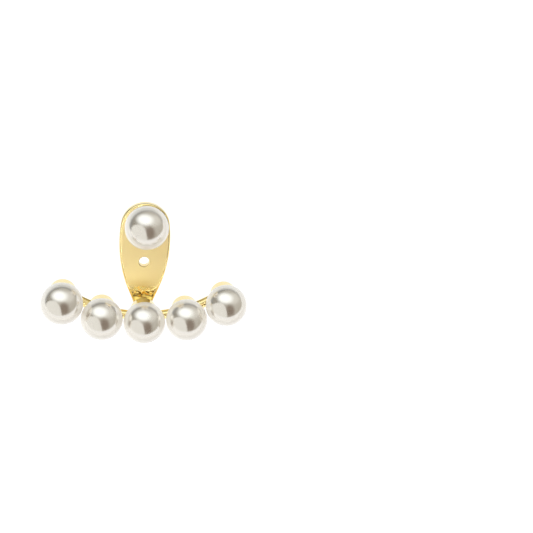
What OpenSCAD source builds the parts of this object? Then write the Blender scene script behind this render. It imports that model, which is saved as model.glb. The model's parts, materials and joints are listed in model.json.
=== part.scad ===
// Ear jacket earring: a stud with a pearl, and a jacket that hangs on its post.
// The jacket is a teardrop plate that curls forward at its foot into a bar with five pearls in cups.
// The shape is drawn in the plate's frame: X across, Y back and Z up the plate, with the origin
// where the plate's front face starts to curl. It is then laid on its back, as it rests on a table:
// the tip of the post and the curl of the plate touch the table, which is Z = 0.

/* [Pearl row] */
// Diameter of each pearl in the row
row_pearl_d = 6; // [4:0.25:8]
// Gap between neighbouring pearls
pearl_gap = 0.15; // [0.1:0.05:0.6]
// Rise of the line from the middle pearl to its neighbour, in degrees
inner_rise = 4.7; // [0:0.1:12]
// Rise of the line from there to the outer pearl, in degrees
outer_rise = 22.8; // [14:0.1:32]

/* [Cups] */
// Diameter of a cup
cup_d = 3.9; // [2.6:0.1:4.6]
// Width of the cup's flat rim
cup_rim = 0.25; // [0.15:0.05:0.4]
// Metal behind the pearl, at the middle of the cup
cup_floor = 1.55; // [0.9:0.05:1.8]
// Rounding of the cup's back edge
cup_round = 0.3; // [0.2:0.05:0.6]
// Gap left for glue between a pearl and its seat
glue_gap = 0.05; // [0.03:0.01:0.1]
// Diameter of the peg that a pearl is glued on
peg_d = 0.8; // [0.6:0.05:1]
// Length of the peg inside the pearl
peg_l = 1.5; // [1:0.1:2]

/* [Bar] */
// Diameter of the bar behind the cups
bar_d = 1.4; // [1:0.05:2]
// Metal between the bowl of a cup and the bar that runs through it
bar_cover = 0.35; // [0.2:0.05:0.6]
// How far the bar's middle lies below the middle pearl's centre
bar_drop = 0.8; // [0.3:0.05:1.2]
// How far the bar lies above the outer pearl's centre
bar_lift = 0.35; // [0:0.05:0.8]
// Length of bar past the outer pearl's centre
bar_end = 0.6; // [0.2:0.1:1.2]

/* [Plate] */
// Width of the plate where it is widest
plate_w = 7.5; // [6:0.1:9]
// Height of the plate, from the start of its curl to its top
plate_l = 13.4; // [12:0.1:17]
// Thickness of the plate
plate_t = 1.1; // [0.8:0.05:1.5]
// How much less the radius of the round top is than half the plate's width
shoulder = 0.15; // [0.05:0.05:0.5]
// Radius of the long side curves
side_r = 21; // [16:0.5:30]
// Inside radius of the curl at the plate's foot
bend_r = 2.7; // [2.2:0.1:4]
// Width of the tongue that the plate narrows to
tongue_w = 2.6; // [2:0.1:3.4]

/* [Holes] */
// Diameter of the holes for the post
hole_d = 1.5; // [1.1:0.1:1.8]
// Number of holes, one above the other
hole_count = 3; // [1:1:3]
// Distance from one hole to the next
hole_pitch = 3.35; // [2.4:0.05:3.6]
// Distance from the plate's top to the first hole
hole_inset = 2.4; // [2:0.1:3]

/* [Stud] */
// Diameter of the stud's pearl
stud_pearl_d = 6.3; // [4:0.1:9]
// Gap between the stud's pearl and the plate
stud_gap = 0.45; // [0.35:0.05:1.5]
// Diameter of the seat behind the stud's pearl
stud_seat_d = 2.6; // [1.8:0.1:3.4]
// Rounding of that seat's back edge
stud_seat_round = 0.1; // [0.05:0.05:0.15]
// Gap between that seat and the plate
seat_gap = 0.1; // [0.05:0.05:0.15]
// Diameter of the post
post_d = 0.8; // [0.7:0.05:0.9]
// Length of the post, from the back of the pearl to its tip
post_l = 7.45; // [6:0.05:12]

/* [Ear nut] */
// Diameter of the nut
nut_d = 3.2; // [2.4:0.1:5]
// Length of the nut
nut_l = 2.2; // [1.6:0.1:3]
// Rounding of the nut's back edge
nut_round = 0.5; // [0.2:0.05:0.7]
// Gap round the post in the nut
nut_play = 0.03; // [0.02:0.01:0.08]
// Gap between the nut and the plate
nut_gap = 0.1; // [0.05:0.05:0.3]

/* [Hidden] */
// Names of the pieces, each one solid
PEARLS = ["pearl_left_outer", "pearl_left_inner", "pearl_middle", "pearl_right_inner", "pearl_right_outer"];
// Depth that a cut or a joined piece runs past the face it crosses
past = 0.5;
// Sides drawn on round faces
$fn = 64;
// Straight steps in each arc of the plate's outline
arc_steps = 16;

// Pearl row: centre to centre, and how far behind a pearl's centre the bar lies
row_pitch = row_pearl_d + pearl_gap;
seat_r = row_pearl_d / 2 + glue_gap;
bar_behind = seat_r + bar_cover + bar_d / 2;

// The bar's middle sits in the end of the curl, and the row stands in front of it
bar_y = -bend_r;
bar_z = -(bend_r + plate_t / 2);
row_y = bar_y - bar_behind;
row_z = bar_z + bar_drop;

// Centres of the pearls across and up, from the middle one outwards
inner_x = row_pitch * cos(inner_rise);
inner_z = row_pitch * sin(inner_rise);
outer_x = inner_x + row_pitch * cos(outer_rise);
outer_z = inner_z + row_pitch * sin(outer_rise);
row_at = [[-outer_x, outer_z], [-inner_x, inner_z], [0, 0], [inner_x, inner_z], [outer_x, outer_z]];

// The bar is part of a circle through its middle and a point behind each outer cup
bar_rise = outer_z + bar_drop + bar_lift;
bar_r = (outer_x * outer_x + bar_rise * bar_rise) / (2 * bar_rise);
bar_half_deg = asin(outer_x / bar_r) + bar_end / bar_r * 180 / PI;

// Plate outline: a round top, two long side arcs that run into it, and a straight tongue
top_r = plate_w / 2 - shoulder;
side_x = plate_w / 2 - side_r;
shoulder_rise = sqrt(pow(side_r - top_r, 2) - pow(side_x, 2));
top_z = plate_l - top_r;
wide_z = top_z - shoulder_rise;
join_deg = atan2(shoulder_rise, -side_x);
foot_deg = acos((tongue_w / 2 - side_x) / side_r);
curl_r = bend_r + plate_t;

// Holes, from the top one down, and the stud in the top one
hole_z = [for (i = [0 : hole_count - 1]) plate_l - hole_inset - i * hole_pitch];
stud_r = stud_pearl_d / 2;
stud_y = -(stud_gap + stud_r);
stud_z = hole_z[0];
tip_y = post_l - stud_gap;
stud_seat_r = stud_r + glue_gap;

// Laid on its back: the angle at which the lower edge of the post's tip and the curl both touch
tip_back = bend_r + tip_y;
tip_up = stud_z - post_d / 2;
lay_deg = acos(curl_r / norm([tip_back, tip_up])) - atan2(tip_up, tip_back);
table_drop = curl_r - bend_r * cos(lay_deg);

// The origin is on the table, midway between the row's near side and the farthest point
function laid_y(y, z) = y * sin(lay_deg) + z * cos(lay_deg);
near_y = laid_y(row_y, row_z) - row_pearl_d / 2;
far_y = max(laid_y(tip_y, stud_z + post_d / 2),
            laid_y(plate_t + nut_gap + nut_l, stud_z + nut_d / 2 - nut_round),
            laid_y(plate_t, plate_l));
mid_y = (near_y + far_y) / 2;

gold = [0.93, 0.80, 0.50];
pearl_white = [0.93, 0.92, 0.90];

// Lays what is drawn in the plate's frame on the table
module laid_down() {
    translate([0, -mid_y, table_drop])
        rotate([lay_deg - 90, 0, 0])
            children();
}

// Turns what is drawn up Z so that it points back, along Y
module pointing_back() {
    rotate([-90, 0, 0])
        children();
}

// Right half of the plate's outline, from the top down to the end of the tongue
function right_side() = concat(
    [for (i = [0 : arc_steps]) let (a = 90 + (join_deg - 90) * i / arc_steps)
        [top_r * cos(a), top_z + top_r * sin(a)]],
    [for (i = [1 : arc_steps]) let (a = join_deg - (join_deg + foot_deg) * i / arc_steps)
        [side_x + side_r * cos(a), wide_z + side_r * sin(a)]],
    [[tongue_w / 2, -curl_r - past]]);

function left_side() = let (right = right_side())
    [for (i = [len(right) - 1 : -1 : 1]) [-right[i][0], right[i][1]]];

// The plate seen from its edge: straight, then a quarter turn forward
module edge_profile() {
    square([plate_t, plate_l + past]);
    intersection() {
        translate([-bend_r, 0])
            difference() {
                circle(curl_r);
                circle(bend_r);
            }
        translate([-bend_r, -curl_r])
            square([curl_r, curl_r]);
    }
}

module plate() {
    intersection() {
        rotate([90, 0, 90])
            linear_extrude(plate_w + 2 * past, center = true)
                edge_profile();
        translate([0, plate_t + past, 0])
            rotate([90, 0, 0])
                linear_extrude(curl_r + 2 * past)
                    polygon(concat(right_side(), left_side()));
    }
}

module bar() {
    translate([0, bar_y, bar_z + bar_r])
        rotate([90, 0, 0])
            rotate([0, 0, -90 - bar_half_deg])
                rotate_extrude(angle = 2 * bar_half_deg)
                    translate([bar_r, 0])
                        circle(bar_d / 2);
}

// A seat for a pearl whose centre is the origin: a cup behind it and a peg into it
module pearl_seat(seat_d, pearl_r, floor_t, round_r) {
    hollow_r = pearl_r + glue_gap;
    rim_y = sqrt(hollow_r * hollow_r - pow(seat_d / 2 - cup_rim, 2));
    back_y = hollow_r + floor_t;
    pointing_back() {
        difference() {
            union() {
                translate([0, 0, rim_y])
                    cylinder(d = seat_d, h = back_y - rim_y - round_r);
                translate([0, 0, back_y - round_r])
                    rotate_extrude()
                        intersection() {
                            union() {
                                square([seat_d / 2 - round_r, round_r]);
                                translate([seat_d / 2 - round_r, 0])
                                    circle(round_r);
                            }
                            square([seat_d / 2, round_r]);
                        }
            }
            sphere(hollow_r);
        }
        translate([0, 0, pearl_r - peg_l])
            cylinder(d = peg_d, h = peg_l + glue_gap + floor_t / 2);
    }
}

module jacket_frame() {
    color(gold)
        laid_down() {
            difference() {
                plate();
                for (z = hole_z)
                    translate([0, -past, z])
                        pointing_back()
                            cylinder(d = hole_d, h = plate_t + 2 * past);
            }
            bar();
            for (at = row_at)
                translate([at[0], row_y, row_z + at[1]])
                    pearl_seat(cup_d, row_pearl_d / 2, cup_floor, cup_round);
        }
}

// A pearl whose centre is the origin, half drilled from the back for its peg
module half_drilled_pearl(d) {
    difference() {
        sphere(d = d);
        pointing_back()
            translate([0, 0, d / 2 - peg_l - glue_gap])
                cylinder(d = peg_d + 2 * glue_gap, h = peg_l + glue_gap + past);
    }
}

module row_pearl(i) {
    color(pearl_white)
        laid_down()
            translate([row_at[i][0], row_y, row_z + row_at[i][1]])
                half_drilled_pearl(row_pearl_d);
}

module stud_post() {
    color(gold)
        laid_down()
            translate([0, stud_y, stud_z]) {
                pearl_seat(stud_seat_d, stud_r, stud_gap - glue_gap - seat_gap, stud_seat_round);
                pointing_back()
                    translate([0, 0, stud_r + glue_gap])
                        cylinder(d = post_d, h = post_l - glue_gap);
            }
}

module stud_pearl() {
    color(pearl_white)
        laid_down()
            translate([0, stud_y, stud_z])
                half_drilled_pearl(stud_pearl_d);
}

// A plain barrel that slides on the post, with a rounded back edge
module ear_nut() {
    bore_d = post_d + 2 * nut_play;
    color(gold)
        laid_down()
            translate([0, plate_t + nut_gap, stud_z])
                pointing_back()
                    rotate_extrude() {
                        translate([bore_d / 2, 0])
                            square([nut_d / 2 - bore_d / 2, nut_l - nut_round]);
                        translate([bore_d / 2, 0])
                            square([nut_d / 2 - nut_round - bore_d / 2, nut_l]);
                        intersection() {
                            translate([nut_d / 2 - nut_round, nut_l - nut_round])
                                circle(nut_round);
                            translate([nut_d / 2 - nut_round, nut_l - nut_round])
                                square(nut_round);
                        }
                    }
}

jacket_frame();
row_pearl(0);
row_pearl(1);
row_pearl(2);
row_pearl(3);
row_pearl(4);
stud_post();
stud_pearl();
ear_nut();
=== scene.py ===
import bmesh
import bpy
import json
import math
from mathutils import Matrix, Vector


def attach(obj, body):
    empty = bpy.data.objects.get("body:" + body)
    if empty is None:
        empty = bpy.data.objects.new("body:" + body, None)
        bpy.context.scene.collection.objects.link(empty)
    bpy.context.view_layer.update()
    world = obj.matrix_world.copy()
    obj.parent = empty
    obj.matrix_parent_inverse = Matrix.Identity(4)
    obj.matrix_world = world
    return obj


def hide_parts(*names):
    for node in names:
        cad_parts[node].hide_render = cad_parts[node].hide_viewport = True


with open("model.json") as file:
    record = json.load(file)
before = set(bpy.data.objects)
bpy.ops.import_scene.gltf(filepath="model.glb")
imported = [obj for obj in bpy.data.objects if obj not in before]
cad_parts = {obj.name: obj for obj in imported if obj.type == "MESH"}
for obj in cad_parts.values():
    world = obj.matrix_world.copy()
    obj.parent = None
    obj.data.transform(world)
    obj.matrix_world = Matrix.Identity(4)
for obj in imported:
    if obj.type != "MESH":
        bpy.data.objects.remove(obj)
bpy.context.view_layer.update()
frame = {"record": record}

# The jacket's plate, cast in brass 1.1 mm thick: a teardrop with three holes for the ear post. Its
# foot curls forward through a quarter turn, and its edge is rounded over in polishing. Sizes are in
# millimetres, drawn with X across, Y back from the front face and Z up from where the curl starts.
PLATE_THICKNESS = 1.1
PLATE_TOP = 13.4
TOP_RADIUS = 3.6
TOP_CENTRE = PLATE_TOP - TOP_RADIUS
SIDE_RADIUS = 21
SIDE_CENTRE_X = -17.25
SIDE_CENTRE_Z = TOP_CENTRE - math.sqrt((SIDE_RADIUS - TOP_RADIUS) ** 2 - SIDE_CENTRE_X ** 2)
TONGUE_HALF_WIDTH = 1.3
CURL_INSIDE = 2.7
CURL_MIDDLE = CURL_INSIDE + PLATE_THICKNESS / 2
CURL_OVERRUN = 0.2
CURL_LENGTH = CURL_MIDDLE * math.pi / 2 + CURL_OVERRUN
EDGE_ROUNDING = 0.28
BACK_EDGE_ROUNDING = 0.12
EDGE_STEPS = 6
TOP_STEPS = 48
SIDE_STEPS = 60
CURL_ROWS = 20
HOLE_RADIUS = 0.75
HOLE_ROUNDING = 0.06
HOLE_SIDES = 64
HOLE_HEIGHTS = (11.0, 7.65, 4.3)


def arc(centre_x, centre_z, radius, start, end, steps):
    """Points along an arc, from one angle to another, evenly spaced."""
    angles = [start + (end - start) * i / steps for i in range(steps + 1)]
    return [(centre_x + radius * math.cos(a), centre_z + radius * math.sin(a)) for a in angles]


def uncurled(x, z):
    """Where a point of the plate's front outline lies before the foot is curled."""
    return (x, z) if z > 0 else (x, -CURL_MIDDLE * math.asin(min(1, -z / CURL_MIDDLE)))


def plate_outline(inset):
    """The flat plate's outline, moved in by an inset, as points all the way round."""
    join = math.atan2(TOP_CENTRE - SIDE_CENTRE_Z, -SIDE_CENTRE_X)
    foot = -math.acos((TONGUE_HALF_WIDTH - SIDE_CENTRE_X) / SIDE_RADIUS)
    right = arc(0, TOP_CENTRE, TOP_RADIUS - inset, math.pi / 2, join, TOP_STEPS)[:-1]
    right += arc(SIDE_CENTRE_X, SIDE_CENTRE_Z, SIDE_RADIUS - inset, join, foot, SIDE_STEPS)
    right = [uncurled(x, z) for x, z in right]
    right.append((TONGUE_HALF_WIDTH - inset, inset - CURL_LENGTH))
    return right + [(-x, z) for x, z in reversed(right[1:])]


def hole_outline(height, inset):
    """A round hole's outline, made larger by an inset."""
    turns = [2 * math.pi * i / HOLE_SIDES for i in range(HOLE_SIDES)]
    radius = HOLE_RADIUS + inset
    return [(radius * math.cos(a), height + radius * math.sin(a)) for a in turns]


def edge_rings(front, back):
    """Pairs of inset and depth that round an edge over, from the front face to the back face."""
    angles = [math.pi / 2 * i / EDGE_STEPS for i in range(EDGE_STEPS + 1)]
    rings = [(front * (1 - math.sin(a)), front * (1 - math.cos(a))) for a in angles]
    rings += [(back * (1 - math.cos(a)), PLATE_THICKNESS - back * (1 - math.sin(a)))
              for a in angles]
    return rings


def join_rings(shape, rings):
    """Faces between closed rings of as many points each."""
    for first, second in zip(rings, rings[1:]):
        for i in range(len(first)):
            j = (i + 1) % len(first)
            shape.faces.new((first[i], first[j], second[j], second[i]))


def ring_edges(shape, ring):
    """The edges that run round a ring of points."""
    return [shape.edges.get((ring[i - 1], ring[i])) for i in range(len(ring))]


def curled(point):
    """Where a point of the flat plate goes when its foot is curled forward."""
    if point.z > 0:
        return point
    turn = -point.z / CURL_MIDDLE
    radius = CURL_INSIDE + point.y
    return Vector((point.x, radius * math.cos(turn) - CURL_INSIDE, -radius * math.sin(turn)))


def plate_shape():
    """The plate as one closed shape."""
    shape = bmesh.new()
    edges = [(plate_outline, edge_rings(EDGE_ROUNDING, BACK_EDGE_ROUNDING))]
    hole_rings = edge_rings(HOLE_ROUNDING, HOLE_ROUNDING)
    edges += [(lambda inset, z=z: hole_outline(z, inset), hole_rings) for z in HOLE_HEIGHTS]
    faces = ([], [])
    for outline, places in edges:
        rings = [[shape.verts.new((x, depth, z)) for x, z in outline(inset)]
                 for inset, depth in places]
        join_rings(shape, rings)
        faces[0].extend(ring_edges(shape, rings[0]))
        faces[1].extend(ring_edges(shape, rings[-1]))
    for border in faces:
        bmesh.ops.triangle_fill(shape, edges=border, use_beauty=True)
    for row in range(CURL_ROWS):
        height = -CURL_LENGTH * row / CURL_ROWS
        everything = shape.verts[:] + shape.edges[:] + shape.faces[:]
        bmesh.ops.bisect_plane(shape, geom=everything, plane_co=(0, 0, height), plane_no=(0, 0, 1))
    for vert in shape.verts:
        vert.co = curled(vert.co)
    bmesh.ops.recalc_face_normals(shape, faces=shape.faces)
    return shape


# The bar behind the row, a round brass wire 1.4 mm thick, bent to part of a circle and soldered to
# the end of the curl. Its ends are rounded, and lie behind the outer cups.
BAR_RADIUS = 0.7
BAR_Y = -CURL_INSIDE
BAR_LOW_Z = -CURL_MIDDLE
ROW_PEARL_RADIUS = 3
PEARL_GAP = 0.15
PEARL_PITCH = 2 * ROW_PEARL_RADIUS + PEARL_GAP
GLUE_GAP = 0.05
BAR_COVER = 0.35
BAR_DROP = 0.8
BAR_LIFT = 0.35
BAR_END = 0.6
ROW_Y = BAR_Y - (ROW_PEARL_RADIUS + GLUE_GAP + BAR_COVER + BAR_RADIUS)
ROW_Z = BAR_LOW_Z + BAR_DROP
INNER_RISE = math.radians(4.7)
OUTER_RISE = math.radians(22.8)
INNER_PEARL = Vector((math.cos(INNER_RISE), 0, math.sin(INNER_RISE))) * PEARL_PITCH
OUTER_PEARL = INNER_PEARL + Vector((math.cos(OUTER_RISE), 0, math.sin(OUTER_RISE))) * PEARL_PITCH
BAR_RISE = OUTER_PEARL.z + BAR_DROP + BAR_LIFT
BAR_BEND = (OUTER_PEARL.x ** 2 + BAR_RISE ** 2) / (2 * BAR_RISE)
BAR_HALF_TURN = math.asin(OUTER_PEARL.x / BAR_BEND) + BAR_END / BAR_BEND
BAR_SECTIONS = 80
BAR_SIDES = 40
BAR_END_STEPS = 6


def bar_shape():
    """The bar as one closed shape: sections along its arc, drawn in at the ends."""
    shape = bmesh.new()
    end_turn = BAR_RADIUS / BAR_BEND
    rounding = [math.pi / 2 * i / BAR_END_STEPS for i in range(BAR_END_STEPS)]
    start = [(-BAR_HALF_TURN + end_turn * (1 - math.sin(a)), BAR_RADIUS * math.cos(a))
             for a in reversed(rounding)]
    inner = BAR_HALF_TURN - end_turn
    along = [(inner * (2 * i / BAR_SECTIONS - 1), BAR_RADIUS) for i in range(1, BAR_SECTIONS)]
    end = [(-turn, radius) for turn, radius in reversed(start)]
    rings = []
    for turn, radius in start + along + end:
        ring = []
        for i in range(BAR_SIDES):
            angle = 2 * math.pi * i / BAR_SIDES
            reach = BAR_BEND + radius * math.cos(angle)
            y = BAR_Y + radius * math.sin(angle)
            z = BAR_LOW_Z + BAR_BEND - reach * math.cos(turn)
            ring.append(shape.verts.new((reach * math.sin(turn), y, z)))
        rings.append(ring)
    join_rings(shape, rings)
    shape.faces.new(rings[0])
    shape.faces.new(rings[-1])
    bmesh.ops.recalc_face_normals(shape, faces=shape.faces)
    return shape


# The five cups, each turned from brass and soldered to the bar: a bowl that fits the pearl's back,
# with a thin rim and a peg in its middle that the half-drilled pearl is glued on.
CUP_RADIUS = 1.95
CUP_RIM = 0.25
CUP_FLOOR = 1.55
CUP_BACK_ROUNDING = 0.3
RIM_ROUNDING = 0.08
PEG_RADIUS = 0.4
PEG_LENGTH = 1.5
TURNED_SIDES = 96
ROUNDING_STEPS = 6
BOWL_STEPS = 16


def quarter(centre_r, centre_y, radius, start):
    """Points of a rounding in a turned profile, as radius and depth, through a quarter turn."""
    angles = [start + math.pi / 2 * i / ROUNDING_STEPS for i in range(ROUNDING_STEPS + 1)]
    return [(centre_r + radius * math.cos(a), centre_y + radius * math.sin(a)) for a in angles]


def turned(profile):
    """A closed shape turned round the Y axis. Its profile starts and ends on the axis."""
    shape = bmesh.new()
    first = shape.verts.new((0, profile[0][1], 0))
    last = shape.verts.new((0, profile[-1][1], 0))
    angles = [2 * math.pi * i / TURNED_SIDES for i in range(TURNED_SIDES)]
    rings = []
    for radius, y in profile[1:-1]:
        places = [(radius * math.cos(a), y, radius * math.sin(a)) for a in angles]
        rings.append([shape.verts.new(place) for place in places])
    join_rings(shape, rings)
    for i in range(TURNED_SIDES):
        shape.faces.new((first, rings[0][i - 1], rings[0][i]))
        shape.faces.new((last, rings[-1][i], rings[-1][i - 1]))
    bmesh.ops.recalc_face_normals(shape, faces=shape.faces)
    return shape


def bowl(radius, inner, outer):
    """Points of a sphere's back, from a radius near the axis out to a larger one."""
    start = math.asin(inner / radius)
    end = math.asin(outer / radius)
    angles = [start + (end - start) * i / BOWL_STEPS for i in range(BOWL_STEPS + 1)]
    return [(radius * math.sin(a), radius * math.cos(a)) for a in angles]


def seat_profile(pearl_radius, seat_radius, floor, back_rounding):
    """A seat's profile behind a pearl that is centred on the origin: peg, bowl, rim and back."""
    hollow = pearl_radius + GLUE_GAP
    peg_tip = pearl_radius - PEG_LENGTH
    lip = seat_radius - CUP_RIM
    rim_y = math.sqrt(hollow ** 2 - lip ** 2)
    back = hollow + floor
    peg_flat = PEG_RADIUS - RIM_ROUNDING
    rim_flat = seat_radius - RIM_ROUNDING
    profile = [(0, peg_tip), (peg_flat, peg_tip)]
    profile += quarter(peg_flat, peg_tip + RIM_ROUNDING, RIM_ROUNDING, -math.pi / 2)[1:]
    profile += bowl(hollow, PEG_RADIUS, lip)
    profile += quarter(rim_flat, rim_y + RIM_ROUNDING, RIM_ROUNDING, -math.pi / 2)
    profile += quarter(seat_radius - back_rounding, back - back_rounding, back_rounding, 0)
    return profile + [(0, back)]


def cup_shape(place):
    """A cup as one closed shape, with its pearl's centre at a place."""
    shape = turned(seat_profile(ROW_PEARL_RADIUS, CUP_RADIUS, CUP_FLOOR, CUP_BACK_ROUNDING))
    bmesh.ops.translate(shape, vec=place, verts=shape.verts)
    return shape


ROW_MIDDLE = Vector((0, ROW_Y, ROW_Z))
MIRROR = Matrix.Diagonal((-1, 1, 1))
ROW_PLACES = {
    "left_outer": ROW_MIDDLE + MIRROR @ OUTER_PEARL,
    "left_inner": ROW_MIDDLE + MIRROR @ INNER_PEARL,
    "middle": ROW_MIDDLE,
    "right_inner": ROW_MIDDLE + INNER_PEARL,
    "right_outer": ROW_MIDDLE + OUTER_PEARL,
}

# The jacket's metal as it leaves the plating bath: plate, bar and cups soldered to one piece, with
# small fillets of solder where they meet. It lies on its back, and the two open holes say how.
holes = {mount["name"]: mount for mount in frame["record"]["mounts"]}
lower_hole = Vector(holes["lower_hole"]["pos_m"])
middle_hole = Vector(holes["middle_hole"]["pos_m"])
MM = 0.001
up_plate = (middle_hole - lower_hole).normalized()
back_of_plate = up_plate.cross(Vector((1, 0, 0))).normalized()
half_through = back_of_plate * PLATE_THICKNESS / 2 * MM
plate_origin = lower_hole - half_through - up_plate * HOLE_HEIGHTS[-1] * MM
axes = Matrix((Vector((1, 0, 0)), back_of_plate, up_plate)).transposed()
LAID = Matrix.Translation(plate_origin) @ axes.to_4x4() @ Matrix.Scale(MM, 4)
SOLDER_VOXEL = 0.06
SOLDER_SMOOTHING = 4
SMOOTHING_STEP = 0.5
KEPT_FACES = 0.3


def piece(name, shape):
    """An object in the scene with that shape, drawn in millimetres in the plate's frame."""
    mesh = bpy.data.meshes.new(name)
    shape.to_mesh(mesh)
    shape.free()
    mesh.transform(LAID)
    mesh.shade_smooth()
    made = bpy.data.objects.new(name, mesh)
    bpy.context.scene.collection.objects.link(made)
    return made


def modifier(target, kind, **settings):
    """A modifier on an object, with its settings."""
    made = target.modifiers.new(kind.lower(), kind)
    for name, value in settings.items():
        setattr(made, name, value)
    return made


def apply_modifiers(target):
    """Leaves the object with the mesh that its modifiers give."""
    graph = bpy.context.evaluated_depsgraph_get()
    mesh = bpy.data.meshes.new_from_object(target.evaluated_get(graph))
    target.modifiers.clear()
    target.data = mesh


joined = bmesh.new()
for shape in [plate_shape(), bar_shape()] + [cup_shape(place) for place in ROW_PLACES.values()]:
    part = bpy.data.meshes.new("part")
    shape.to_mesh(part)
    shape.free()
    joined.from_mesh(part)
    bpy.data.meshes.remove(part)
jacket_metal = piece("jacket_metal", joined)
modifier(jacket_metal, "REMESH", mode="VOXEL", voxel_size=SOLDER_VOXEL * MM, use_smooth_shade=True)
modifier(jacket_metal, "SMOOTH", factor=SMOOTHING_STEP, iterations=SOLDER_SMOOTHING)
apply_modifiers(jacket_metal)
modifier(jacket_metal, "DECIMATE", ratio=KEPT_FACES)
apply_modifiers(jacket_metal)


class Wire:
    """A node's output in a shader, so that shader maths reads as sums and products."""

    def __init__(self, tree, socket=None):
        self.tree = tree
        self.socket = socket

    def add(self, kind, settings=None, inputs=None, output=0):
        """Adds a node, sets it, feeds its sockets with values or wires, and gives an output."""
        node = self.tree.nodes.new(kind)
        for name, value in (settings or {}).items():
            setattr(node, name, value)
        for name, value in (inputs or {}).items():
            if isinstance(value, Wire):
                self.tree.links.new(value.socket, node.inputs[name])
            else:
                node.inputs[name].default_value = value
        return Wire(self.tree, node.outputs[output])

    def maths(self, operation, first, second):
        """A Math node on two values or wires."""
        return self.add("ShaderNodeMath", {"operation": operation}, {0: first, 1: second})

    def __add__(self, other):
        return self.maths("ADD", self, other)

    def __radd__(self, other):
        return self.maths("ADD", other, self)

    def __sub__(self, other):
        return self.maths("SUBTRACT", self, other)

    def __mul__(self, other):
        return self.maths("MULTIPLY", self, other)

    def __rmul__(self, other):
        return self.maths("MULTIPLY", other, self)

    def __truediv__(self, other):
        return self.maths("DIVIDE", self, other)

    def __pow__(self, other):
        return self.maths("POWER", self, other)

    def size(self):
        """The value without its sign."""
        return self.maths("ABSOLUTE", self, 0)

    def place(self, origin):
        """Where the shaded point is from an origin, in the object's own space."""
        return self.add("ShaderNodeTexCoord", output=3).vector("SUBTRACT", origin)

    def slant(self, blend=0.5):
        """How much from the side the surface is seen, from 0 for straight on to 1 for edge on."""
        return self.add("ShaderNodeLayerWeight", None, {"Blend": blend}, 1)

    def seen(self):
        """1 where the camera itself looks, 0 for all other light."""
        return self.add("ShaderNodeLightPath", output=0)

    def bump(self, height, strength, distance):
        """Normals that a height gives."""
        inputs = {"Height": height, "Strength": strength, "Distance": distance}
        return self.add("ShaderNodeBump", None, inputs)

    def ramp(self, start, end):
        """Rises smoothly from 0 to 1 as this value goes from start to end."""
        limits = {"Value": self, "From Min": start, "From Max": end}
        return self.add("ShaderNodeMapRange", {"interpolation_type": "SMOOTHSTEP"}, limits)

    def blend(self, low, high):
        """A colour between two others, with this wire as the share of the second."""
        return self.add("ShaderNodeMix", {"data_type": "RGBA"}, {0: self, 6: low, 7: high}, 2)

    def vector(self, operation, second=(0, 0, 0), output=0):
        """Vector maths on this wire and a second vector."""
        settings = {"operation": operation}
        return self.add("ShaderNodeVectorMath", settings, {0: self, 1: second}, output)

    def along(self, direction):
        """How far this vector reaches along a direction."""
        return self.vector("DOT_PRODUCT", direction, 1)

    def noise(self, size, detail):
        """Noise with lumps of a size in millimetres, in the object's own space."""
        place = self.add("ShaderNodeTexCoord", output=3)
        scale = {"Vector": place, "Scale": 1 / (size * MM), "Detail": detail}
        return self.add("ShaderNodeTexNoise", None, scale)


def surface(name, **constants):
    """A material with one Principled shader, its unlinked sockets set, and a wire to build on."""
    material = bpy.data.materials.new(name)
    material.use_nodes = True
    shader = material.node_tree.nodes["Principled BSDF"]
    for socket, value in constants.items():
        shader.inputs[socket.replace("_", " ")].default_value = value
    return material, shader, Wire(material.node_tree)


def feed(shader, **wires):
    """Links wires to the shader's sockets."""
    for socket, wire in wires.items():
        wire.tree.links.new(wire.socket, shader.inputs[socket.replace("_", " ")])


THICK_PLATING = (0.97, 0.80, 0.40, 1)
THIN_PLATING = (0.95, 0.77, 0.36, 1)
# A deeper gold painted into the curl, standing in for the reflection of gold in gold.
CURL_PAINTED_REFLECTION = (0.86, 0.60, 0.15, 1)
# A paler gold painted where the metal is seen at a slant, as a sheen.
SLANT_PAINTED_SHEEN = (0.86, 0.85, 0.62, 1)
LOW_SLANT = (0.45, 0.95)
PATCH_SIZE = 2.5
PATCH_DETAIL = 2
MARK_SIZE = 0.12
MARK_DETAIL = 3
MARK_DEPTH = 0.0006
WAVE_SIZE = 0.8
WAVE_DETAIL = 1
WAVE_DEPTH = 0.17
SATIN = 0.33
LEVEL_WITH_FACE = (0.985, 0.999)
ABOVE_CURL = (0, 0.6)
BEHIND_FACE = (-0.6, -0.3)
BELOW_FACE = (0.5, -0.8)
NEAR_MIDDLE = (3.1, 2.1)
BEHIND_CUP = (-2.4, -1.8)


def satin_share(wire):
    """How far a point is on the plate's two flat faces, which are brushed to a satin sheen."""
    place = wire.place(plate_origin)
    level_with_face = wire.add("ShaderNodeNewGeometry", output=1).along(back_of_plate).size()
    above_curl = place.along(up_plate / MM).ramp(*ABOVE_CURL)
    behind_face = place.along(back_of_plate / MM).ramp(*BEHIND_FACE)
    return level_with_face.ramp(*LEVEL_WITH_FACE) * above_curl * behind_face


def curl_share(wire):
    """How far a point is in the curl, where a deeper gold is painted in for gold mirroring gold,
    and where the surface is uneven.
    """
    place = wire.place(plate_origin)
    below_face = place.along(up_plate / MM).ramp(*BELOW_FACE)
    near_middle = place.along((1 / MM, 0, 0)).size().ramp(*NEAR_MIDDLE)
    behind_cup = place.along(back_of_plate / MM).ramp(*BEHIND_CUP)
    return below_face * near_middle * behind_cup


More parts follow.
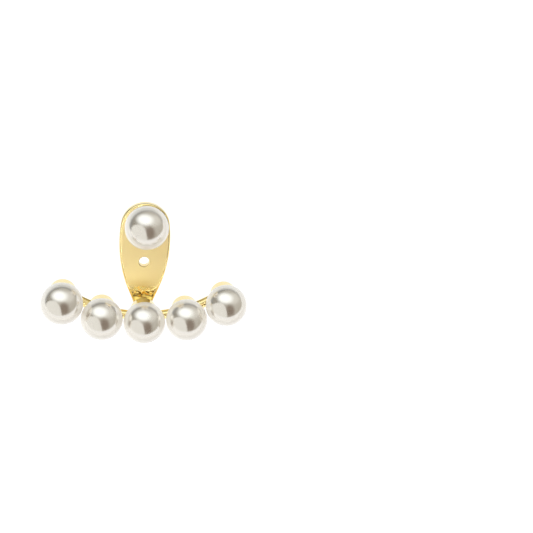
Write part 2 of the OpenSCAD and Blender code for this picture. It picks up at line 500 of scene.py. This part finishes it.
def plating(name, roughness, wear, satin=False):
    """Pale gold plating over polished brass: warmer where it is thin, with faint fine marks, and a
    paler gold painted where it is seen at a slant, as a sheen.
    """
    material, shader, wire = surface(name, Metallic=1, IOR=1.5)
    thin = wire.noise(PATCH_SIZE, PATCH_DETAIL)
    marks = wire.noise(MARK_SIZE, MARK_DETAIL)
    slant = wire.slant()
    base = thin.blend(THICK_PLATING, THIN_PLATING)
    rough = roughness + wear * marks
    relief = MARK_DEPTH * marks
    # Painted sheen: the gold turns paler where it is seen at a slant.
    base = slant.ramp(*LOW_SLANT).blend(base, SLANT_PAINTED_SHEEN)
    if satin:
        curl = curl_share(wire)
        # Painted reflection: a deeper gold in the curl, where gold mirrors gold.
        base = curl.blend(base, CURL_PAINTED_REFLECTION)
        rough = rough + (SATIN - roughness) * satin_share(wire)
        relief = relief + WAVE_DEPTH * wire.noise(WAVE_SIZE, WAVE_DETAIL) * curl
    feed(shader, Base_Color=base, Roughness=rough, Normal=wire.bump(relief, 1, MM))
    return material


jacket_metal.data.materials.append(plating("jacket_plating", roughness=0.12, wear=0.04, satin=True))
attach(jacket_metal, "root")
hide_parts("jacket_frame")

# The five pearls of the row: acrylic beads of 6 mm under many coats of pearl lacquer, each half
# drilled from the back and glued on its cup's peg.
DRILL_PLAY = 0.05
DRILL_CHAMFER = 0.06
PEARL_RINGS = 56


def pearl_shape(radius, place):
    """A half-drilled pearl as one closed shape, with its centre at a place."""
    hole = PEG_RADIUS + DRILL_PLAY
    mouth = hole + DRILL_CHAMFER
    mouth_y = math.sqrt(radius ** 2 - mouth ** 2)
    mouth_angle = math.asin(mouth / radius)
    bottom = radius - PEG_LENGTH - DRILL_PLAY
    turns = [math.pi - (math.pi - mouth_angle) * i / PEARL_RINGS for i in range(1, PEARL_RINGS)]
    profile = [(0, -radius)] + [(radius * math.sin(a), radius * math.cos(a)) for a in turns]
    profile += [(mouth, mouth_y), (hole, mouth_y - DRILL_CHAMFER), (hole, bottom), (0, bottom)]
    shape = turned(profile)
    bmesh.ops.translate(shape, vec=place, verts=shape.verts)
    return shape


PEARL_BODY = (0.89, 0.845, 0.765, 1)
PEARL_CLOUD = (0.90, 0.86, 0.78, 1)
# A whiter colour painted where a pearl is seen at a slant, as a sheen at its rim.
PEARL_PAINTED_SHEEN = (0.98, 0.96, 0.93, 1)
LACQUER_SLANT_BLEND = 0.35
PEARL_LUSTRE = 0.70
PEARL_ROUGHNESS = 0.13
PEARL_COAT = 0.1
COAT_CLOUDING = 0.1
CLOUDING = 0.06
CLOUD_SIZE = 3
CLOUD_DETAIL = 2
MILKINESS = 0.70
MILKY_FROM = (0.31, 0.48)
FLAKE_SIZE = 0.05
FLAKE_DETAIL = 1
FLAKE_STRENGTH = 0.04
FLAKE_DEPTH = 0.002


def lacquer(name):
    """Pearl lacquer: fine bright flakes in clear coats, milky where it is seen at a slant, with a
    whiter colour painted there as a sheen.
    """
    material, shader, wire = surface(name, IOR=1.5, Coat_Roughness=0.1, Coat_IOR=1.5)
    slant = wire.slant(LACQUER_SLANT_BLEND)
    milky = wire.slant().ramp(*MILKY_FROM)
    flakes = wire.noise(FLAKE_SIZE, FLAKE_DETAIL)
    cloud = wire.noise(CLOUD_SIZE, CLOUD_DETAIL)
    # Painted sheen: the colour turns whiter towards the rim, where the pearl is seen at a slant.
    base = (slant ** 2).blend(cloud.blend(PEARL_BODY, PEARL_CLOUD), PEARL_PAINTED_SHEEN)
    feed(shader, Base_Color=base, Metallic=PEARL_LUSTRE + CLOUDING * cloud - MILKINESS * milky,
         Roughness=PEARL_ROUGHNESS + CLOUDING * flakes,
         Coat_Weight=PEARL_COAT + COAT_CLOUDING * cloud,
         Normal=wire.bump(flakes, FLAKE_STRENGTH, FLAKE_DEPTH * MM))
    return material


pearl_lacquer = lacquer("pearl_lacquer")
row_beads = []
for side, place in ROW_PLACES.items():
    pearl = piece(side + "_pearl", pearl_shape(ROW_PEARL_RADIUS, place))
    row_beads.append(pearl)
    pearl.data.materials.append(pearl_lacquer)
    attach(pearl, "root")
    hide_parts("pearl_" + side)

# The stud in the top hole: a larger pearl, glued on a turned brass seat with a straight 0.8 mm
# post, which goes through the ear and then through the plate.
STUD_PEARL_RADIUS = 3.15
STUD_GAP = 0.45
STUD_SEAT_RADIUS = 1.3
SEAT_GAP = 0.1
SEAT_FLOOR = STUD_GAP - GLUE_GAP - SEAT_GAP
SEAT_ROUNDING = 0.1
POST_LENGTH = 7.45
POST_RADIUS = 0.4
TIP_ROUNDING = 0.2
CRISP_ANGLE = math.radians(35)
STUD_PLACE = Vector((0, -STUD_GAP - STUD_PEARL_RADIUS, HOLE_HEIGHTS[0]))


def stud_shape():
    """The stud's metal as one closed shape: a seat's profile, with the post as its back."""
    tip = STUD_PEARL_RADIUS + POST_LENGTH
    profile = seat_profile(STUD_PEARL_RADIUS, STUD_SEAT_RADIUS, SEAT_FLOOR, SEAT_ROUNDING)
    profile[-1] = (POST_RADIUS, profile[-1][1])
    profile += quarter(POST_RADIUS - TIP_ROUNDING, tip - TIP_ROUNDING, TIP_ROUNDING, 0)
    shape = turned(profile + [(0, tip)])
    bmesh.ops.translate(shape, vec=STUD_PLACE, verts=shape.verts)
    return shape


def crisp(target):
    """Keeps corners sharper than an angle crisp, and curved faces smooth."""
    target.data.set_sharp_from_angle(angle=CRISP_ANGLE)


stud_metal = piece("stud_metal", stud_shape())
crisp(stud_metal)
stud_metal.data.materials.append(plating("post_plating", roughness=0.1, wear=0.1))
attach(stud_metal, "root")
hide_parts("stud_post")
stud_bead = piece("stud_bead", pearl_shape(STUD_PEARL_RADIUS, STUD_PLACE))
stud_bead.data.materials.append(pearl_lacquer)
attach(stud_bead, "root")
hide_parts("stud_pearl")

# The nut that holds the jacket on the post, a plain barrel turned from brass, with its back edge
# rounded.
NUT_RADIUS = 1.6
NUT_LENGTH = 2.2
NUT_BORE = 0.43
NUT_GAP = 0.1
NUT_BACK_ROUNDING = 0.5
NUT_FRONT_ROUNDING = 0.15
BORE_ROUNDING = 0.12


def nut_shape():
    """The nut as one closed ring, turned round the post."""
    front = PLATE_THICKNESS + NUT_GAP
    back = front + NUT_LENGTH
    front_flat = NUT_RADIUS - NUT_FRONT_ROUNDING
    back_flat = NUT_RADIUS - NUT_BACK_ROUNDING
    bore = NUT_BORE + BORE_ROUNDING
    profile = quarter(front_flat, front + NUT_FRONT_ROUNDING, NUT_FRONT_ROUNDING, -math.pi / 2)
    profile += quarter(back_flat, back - NUT_BACK_ROUNDING, NUT_BACK_ROUNDING, 0)
    profile += quarter(bore, back - BORE_ROUNDING, BORE_ROUNDING, math.pi / 2)
    profile += quarter(bore, front + BORE_ROUNDING, BORE_ROUNDING, math.pi)
    shape = bmesh.new()
    angles = [2 * math.pi * i / TURNED_SIDES for i in range(TURNED_SIDES)]
    rings = []
    for radius, y in profile:
        places = [(radius * math.cos(a), y, HOLE_HEIGHTS[0] + radius * math.sin(a)) for a in angles]
        rings.append([shape.verts.new(place) for place in places])
    join_rings(shape, rings + rings[:1])
    bmesh.ops.recalc_face_normals(shape, faces=shape.faces)
    return shape


nut = piece("nut_barrel", nut_shape())
crisp(nut)
nut.data.materials.append(plating("nut_plating", roughness=0.12, wear=0.12))
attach(nut, "root")
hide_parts("ear_nut")

# The camera looks at the plate's front from a little to its left and above, as in a shop's
# photograph. The picture is 533 pixels square, and the middle pearl of the row falls on the pixel
# given here.
VIEW_TURN = math.radians(10.43)
VIEW_RISE = math.radians(22)
VIEW_ROLL = math.radians(4.95)
VIEW_DISTANCE = 150
IMAGE_PIXELS = 533
FOCAL_PIXELS = 1032
SENSOR = 36
MIDDLE_PEARL_PIXEL = (144.4, 322.5)
NEAREST_SEEN = 0.005
forward = axes @ Vector((math.sin(VIEW_TURN) * math.cos(VIEW_RISE),
                         math.cos(VIEW_TURN) * math.cos(VIEW_RISE), -math.sin(VIEW_RISE)))
level = axes @ Vector((math.cos(VIEW_TURN), -math.sin(VIEW_TURN), 0))
upright = level.cross(forward)
right = level * math.cos(VIEW_ROLL) + upright * math.sin(VIEW_ROLL)
up = upright * math.cos(VIEW_ROLL) - level * math.sin(VIEW_ROLL)
mm_per_pixel = VIEW_DISTANCE / FOCAL_PIXELS
pixels_right = MIDDLE_PEARL_PIXEL[0] - IMAGE_PIXELS / 2
pixels_up = IMAGE_PIXELS / 2 - MIDDLE_PEARL_PIXEL[1]
offset = forward * VIEW_DISTANCE + (right * pixels_right + up * pixels_up) * mm_per_pixel
camera = bpy.data.objects.new("camera", bpy.data.cameras.new("camera"))
bpy.context.scene.collection.objects.link(camera)
camera_axes = Matrix((right, up, -forward)).transposed().to_4x4()
camera.matrix_world = Matrix.Translation(LAID @ ROW_MIDDLE - offset * MM) @ camera_axes
camera.data.sensor_width = SENSOR
camera.data.lens = FOCAL_PIXELS / IMAGE_PIXELS * SENSOR
camera.data.clip_start = NEAREST_SEEN
bpy.context.scene.camera = camera

# A plain white table, lit from below so that what lies on it has hardly a shadow. It is white to
# the eye, and grey towards the side behind the earring, where little light leaves it at a low
# slant.
FLOOR_SIZE = 1.2
TABLE_MIDDLE = Vector((0, -4, 0)) * MM
TABLE_GREY = (0.15, 0.15, 0.15, 1)
TABLE_WHITE = (1, 1, 1, 1)
TABLE_GLOW = (0.95, 0.95, 0.95, 1)
TABLE_SHADE = (0.05, 0.05, 0.05, 1)
SHADED_SIDE = Vector((-0.15, 0.52, 0))
SHADE_EDGE = 0.05
floor_shape = bmesh.new()
corners = [(-FLOOR_SIZE / 2, -FLOOR_SIZE / 2), (FLOOR_SIZE / 2, -FLOOR_SIZE / 2),
           (FLOOR_SIZE / 2, FLOOR_SIZE / 2), (-FLOOR_SIZE / 2, FLOOR_SIZE / 2)]
floor_shape.faces.new([floor_shape.verts.new((x, y, 0)) for x, y in corners])
floor_mesh = bpy.data.meshes.new("table")
floor_shape.to_mesh(floor_mesh)
floor_shape.free()
floor = bpy.data.objects.new("table", floor_mesh)
bpy.context.scene.collection.objects.link(floor)
table_top, shader, wire = surface("table_top", Base_Color=TABLE_GREY, Roughness=1,
                                  Emission_Strength=1, Specular_IOR_Level=0)
bearing = wire.place(TABLE_MIDDLE).vector("NORMALIZE")
shaded = (bearing.along(SHADED_SIDE) + wire.slant()).ramp(1 - SHADE_EDGE, 1 + SHADE_EDGE)
glow = wire.seen().blend(shaded.blend(TABLE_GLOW, TABLE_SHADE), TABLE_WHITE)
feed(shader, Emission_Color=glow)
floor.data.materials.append(table_top)

# Soft studio light: a pale tent round the table with a bright window above and a weaker fill to its
# right, a white reflector to the lower left and a dark opening beside it. Each card's place is the
# point of a pearl where it shows, in shares of the pearl's radius to the right and up. Then come
# its half size, how soft its edge is, its colour, how far it leans and how square it is, where 2 is
# an ellipse.
TENT = (0.46, 0.435, 0.385, 1)
TENT_LEFT = (0.18, 0.155, 0.11, 1)
WALL_LEFT = (0, 0, 0, 1)
WALL_RIGHT = (0.40, 0.37, 0.31, 1)
BELOW_TABLE = (1.02, 1.03, 1.06, 1)
ROOM_MIDDLE = (0.02, 0.17)
ROOM_HALF_SIZE = (0.78, 0.735)
CARDS = {
    "fill": ((0.32, 0.32), (0.30, 0.26), 0.9, (0.72, 0.71, 0.67, 1), 0, 2),
    "window": ((-0.04, 0.355), (0.35, 0.235), 0.9, (1.35, 1.42, 1.47, 1), 0.06, 2),
    "opening": ((0.19, -0.25), (0.22, 0.29), 0.85, (0.10, 0.04, 0, 1), 0, 2),
    "reflector": ((-0.36, -0.50), (0.41, 0.64), 0.05, (0.86, 0.86, 0.84, 1), 0, 2.4),
}
TENT_SPREAD = (-0.4, 0.1)
WALL_SPREAD = (-0.65, 0.2)
WALL_EDGE = (0.74, 0.97)
TABLE_EDGE = (0.98, 1.02)
BACKDROP = (1, 1, 1, 1)
world = bpy.data.worlds.new("studio")
bpy.context.scene.world = world
world.use_nodes = True
sky = Wire(world.node_tree)
halfway = sky.add("ShaderNodeTexCoord", output=0).vector("SUBTRACT", forward).vector("NORMALIZE")
across = halfway.along(right)
above = halfway.along(up)


def reach_from(middle, half_size, lean=0, power=2):
    """How far out a direction is from a card's middle, where 1 is the card's edge."""
    sideways = across - middle[0]
    upwards = above - middle[1] + lean * sideways
    reach = (sideways / half_size[0]).size() ** power + (upwards / half_size[1]).size() ** power
    return reach ** (1 / power)


room = reach_from(ROOM_MIDDLE, ROOM_HALF_SIZE)
light = across.ramp(*TENT_SPREAD).blend(TENT_LEFT, TENT)
wall = across.ramp(*WALL_SPREAD).blend(WALL_LEFT, WALL_RIGHT)
light = room.ramp(*WALL_EDGE).blend(light, wall)
for middle, half_size, softness, colour, lean, power in CARDS.values():
    reach = reach_from(middle, half_size, lean, power)
    light = reach.ramp(1 + softness / 2, 1 - softness / 2).blend(light, colour)
light = room.ramp(*TABLE_EDGE).blend(light, BELOW_TABLE)
light = sky.seen().blend(light, BACKDROP)
background = world.node_tree.nodes["Background"]
world.node_tree.links.new(light.socket, background.inputs["Color"])
background.inputs["Strength"].default_value = 1
bpy.context.scene.view_settings.view_transform = "Standard"

# One large soft lamp in front of the plate, for the metal alone: the pearls neither take its light
# nor stand in its way. It is placed so that the plate's flat face mirrors it into the camera.
LAMP_SIZE = 0.5
LAMP_DISTANCE = 0.3
LAMP_ENERGY = 0.31
LAMP_POINT = (0.02, -0.40)


def soft_lamp(name, way, energy, lit, blocking):
    """A round lamp that shines on one group of pieces only, and only another group blocks it."""
    light = bpy.data.lights.new(name, "AREA")
    light.shape = "DISK"
    light.size = LAMP_SIZE
    light.energy = energy
    light.cycles.use_multiple_importance_sampling = False
    lamp = bpy.data.objects.new(name, light)
    bpy.context.scene.collection.objects.link(lamp)
    lamp.location = way * LAMP_DISTANCE
    lamp.rotation_euler = way.to_track_quat("Z", "Y").to_euler()
    lamp.visible_camera = False
    lamp.light_linking.receiver_collection = lit
    lamp.light_linking.blocker_collection = blocking
    return lamp


towards_eye = math.sqrt(1 - LAMP_POINT[0] ** 2 - LAMP_POINT[1] ** 2)
mirror = right * LAMP_POINT[0] + up * LAMP_POINT[1] - forward * towards_eye
metal = bpy.data.collections.new("metal")
for part in (jacket_metal, stud_metal, nut):
    metal.objects.link(part)
lamp_way = (forward - 2 * forward.dot(mirror) * mirror).normalized()
soft_lamp("metal_lamp", lamp_way, LAMP_ENERGY, metal, metal)

# Four low soft lamps, two to the left and two to the right, for the milky depth of the pearls
# alone: they light what a pearl scatters near its rim, next to its neighbours too, and never show
# as a gloss. Only the nut stands in their way, because an empty group of blockers would let every
# piece block them.
RIM_LAMP_TURNS = (180, 205, 335, 360)
RIM_ENERGY = 0.17
beads = bpy.data.collections.new("beads")
for pearl in row_beads + [stud_bead]:
    beads.objects.link(pearl)
nut_only = bpy.data.collections.new("nut_only")
nut_only.objects.link(nut)
for turn in RIM_LAMP_TURNS:
    way = right * math.cos(math.radians(turn)) + up * math.sin(math.radians(turn))
    soft_lamp("rim_lamp_%d" % turn, way, RIM_ENERGY, beads, nut_only).visible_glossy = False
